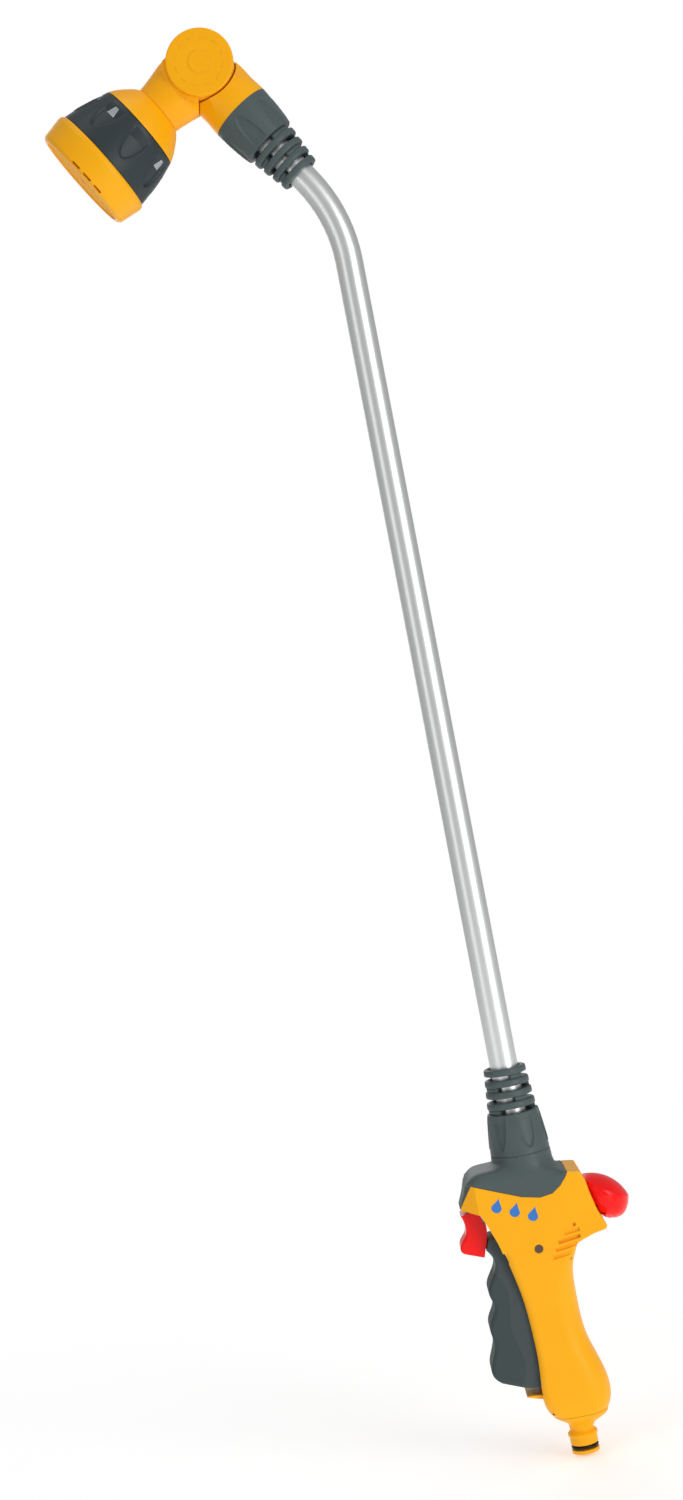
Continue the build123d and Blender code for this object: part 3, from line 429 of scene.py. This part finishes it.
SPRAY_DROP = math.radians(31.7)       # how far the spray axis points down from level
head_seat = seat(PIVOT, (-math.cos(SPRAY_DROP), 0, -math.sin(SPRAY_DROP)))


def band_radius(angle, height):
    """Radius of the grip band's outside in millimetres, scoops included."""
    t = (height - BAND_REAR) / (BAND_FRONT - BAND_REAR)
    radius = BAND_REAR_R + BAND_FLARE * t - BAND_EASE * t * t
    sink = scoop(math.radians(angle) * radius, height, BAND_SCOOP_TIP, BAND_SCOOP_HALF,
                 math.radians(360 / BAND_SCOOPS) * radius,
                 math.radians(180 / BAND_SCOOPS) * radius, BAND_SCOOP_DEPTH, BAND_SCOOP_STOP)
    return radius - sink


def grip_band():
    """The soft band: a sleeve spun with a straight outer wall, then flared and scooped."""
    bm = bmesh.new()
    rows = [BAND_REAR + (BAND_FRONT - BAND_REAR) * i / BAND_ROWS for i in range(BAND_ROWS + 1)]
    lathe(bm, [(BAND_BORE, BAND_REAR)] + [(BAND_REAR_R, h) for h in rows]
          + [(BAND_LIP_R, BAND_FRONT), (BAND_BORE, BAND_LIP_START)], BAND_STEPS)
    for vert in bm.verts:
        radius = vert.co.xy.length / MM
        if abs(radius - BAND_REAR_R) < 0.05:
            angle = math.degrees(math.atan2(-vert.co.y, -vert.co.x))
            vert.co.xy *= band_radius(angle, vert.co.z / MM) / radius
    bmesh.ops.transform(bm, matrix=head_seat, verts=bm.verts)
    return new_piece("grip_band", bm)


FAN_TURNS, FAN_RAYS = (22.5, 112.5, 202.5, 292.5), 4
FAN_START, FAN_LENGTH, FAN_RADIUS, INK_LIFT = 52.2, 5.6, 28.0, 0.06


def spray_marks():
    """Pad-printed spray fans behind every other scoop."""
    bm = bmesh.new()
    for fan_turn in FAN_TURNS:
        for ray in range(FAN_RAYS):
            made = bmesh.ops.create_grid(bm, x_segments=2, y_segments=8, size=0.5)["verts"]
            for vert in made:
                along = vert.co.y + 0.5
                across = (ray - 1.5) * (0.75 + 0.75 * along) + vert.co.x * (0.55 + 0.6 * along)
                height = FAN_START + FAN_LENGTH * along
                angle = fan_turn + math.degrees(across / FAN_RADIUS)
                radius = (band_radius(angle, height) + INK_LIFT) * MM
                turn = math.radians(angle)
                vert.co = (-radius * math.cos(turn), -radius * math.sin(turn), height * MM)
    bmesh.ops.transform(bm, matrix=head_seat, verts=bm.verts)
    return new_piece("spray_marks", bm)


# Pale grey pad-printing ink, duller than the blue.
print_grey = moulded("print_grey", "#B9C1C2", "#B2BABB", 0.5, 0.5, 0.0)
adopt(grip_band(), band_rubber, "selector", "dark_rubber", "selector_band")
adopt(spray_marks(), print_grey, "selector", "white_plastic")


# ---------------------------------------------------------------- stage: floor, light and camera
# A pale sweep of card under soft studio boxes: one large key to the right of the lens,
# a weaker fill to its left, one overhead and one behind.
FLOOR_HALF, FLOOR_GAP = 1.2, 0.002


def stage_floor():
    """Big level plane just under the spigot."""
    mesh = bpy.data.meshes.new("floor")
    bm = bmesh.new()
    bmesh.ops.create_grid(bm, x_segments=1, y_segments=1, size=FLOOR_HALF)
    bmesh.ops.translate(bm, vec=(0, 0, -FLOOR_GAP), verts=bm.verts)
    bm.to_mesh(mesh)
    bm.free()
    floor = bpy.data.objects.new("floor", mesh)
    bpy.context.scene.collection.objects.link(floor)
    card = bpy.data.materials.new("white_card")
    card.use_nodes = True
    shader = card.node_tree.nodes["Principled BSDF"]
    shader.inputs["Base Color"].default_value = linear("#F4F4F4")
    shader.inputs["Roughness"].default_value = 0.9
    shader.inputs["Emission Color"].default_value = (1, 1, 1, 1)
    shader.inputs["Emission Strength"].default_value = 0.4
    mesh.materials.append(card)


def softbox(name, place, target, width, height, watts):
    """Rectangular area light aimed at a point."""
    light = bpy.data.lights.new(name, "AREA")
    light.shape = "RECTANGLE"
    light.size = width
    light.size_y = height
    light.energy = watts
    lamp = bpy.data.objects.new(name, light)
    bpy.context.scene.collection.objects.link(lamp)
    lamp.location = place
    lamp.rotation_euler = (Vector(target) - Vector(place)).to_track_quat("-Z", "Y").to_euler()


stage_floor()
wand_middle = (-0.06, 0, 0.42)
softbox("key_box", (1.2, -1.45, 0.6), wand_middle, 0.8, 1.5, 15)
softbox("fill_box", (-1.35, -1.2, 0.7), wand_middle, 0.6, 1.4, 2.5)
softbox("top_box", (0.0, -0.35, 2.1), wand_middle, 1.2, 1.0, 5)
softbox("back_box", (-0.4, 1.7, 1.1), wand_middle, 1.2, 1.4, 6)

# White all round: full strength where the lens sees it, less where it lights the wand.
SEEN_STRENGTH, LIGHTING_STRENGTH = 1.0, 0.4
world = bpy.data.worlds.new("studio")
world.use_nodes = True
bpy.context.scene.world = world
background = world.node_tree.nodes["Background"]
background.inputs["Color"].default_value = (1, 1, 1, 1)
seen = add_node(world, "ShaderNodeLightPath")
level = add_node(world, "ShaderNodeMapRange", links={"Value": seen.outputs["Is Camera Ray"]})
level.inputs["To Min"].default_value = LIGHTING_STRENGTH
level.inputs["To Max"].default_value = SEEN_STRENGTH
world.node_tree.links.new(level.outputs["Result"], background.inputs["Strength"])

# Seen square-on from the left-hand side, a little rolled, from about 1.4 m.
CAMERA_DISTANCE = 1.37
ROLL = math.radians(10.89)
camera_data = bpy.data.cameras.new("camera")
camera_data.sensor_fit = "VERTICAL"
camera_data.sensor_height = 36.0
camera_data.lens = 57.6
camera_data.clip_end = 50.0
camera = bpy.data.objects.new("camera", camera_data)
bpy.context.scene.collection.objects.link(camera)
right = Vector((math.cos(ROLL), 0, -math.sin(ROLL)))
up = Vector((math.sin(ROLL), 0, math.cos(ROLL)))
place = Matrix((right, up, Vector((0, -1, 0)))).transposed().to_4x4()
place.translation = Vector((-0.0617, -CAMERA_DISTANCE, 0.4188))
camera.matrix_world = place
bpy.context.scene.camera = camera
bpy.context.scene.view_settings.view_transform = "Standard"
